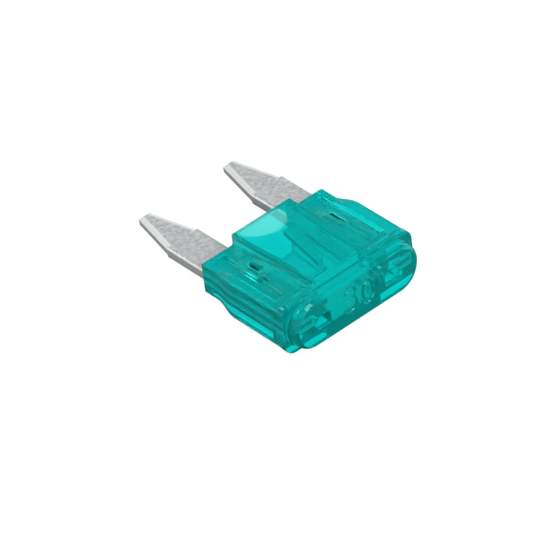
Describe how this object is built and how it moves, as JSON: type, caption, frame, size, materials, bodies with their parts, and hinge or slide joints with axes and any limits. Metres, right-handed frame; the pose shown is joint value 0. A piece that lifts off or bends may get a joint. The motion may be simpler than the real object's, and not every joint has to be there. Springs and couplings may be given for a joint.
{
  "type": "automotive blade fuse",
  "caption": "Mini automotive blade fuse: translucent moulded housing with a raised window and head, and a stamped metal element with flat tapered blades.",
  "frame": {"origin": "middle of the underside of the box round the fuse as it lies on its broad face", "axes": "+X across the width, +Y along the blades towards their tips, +Z through the thickness"},
  "size_m": [0.011, 0.0164, 0.0038],
  "materials": {
    "housing_plastic": "clear teal-green polycarbonate, injection moulded, glossy",
    "element_metal": "stamped zinc alloy strip with a dull grey mill finish and coined edges"
  },
  "bodies": {
    "root": {"housing": "housing_plastic", "fuse_element": "element_metal"}
  },
  "joints": []
}
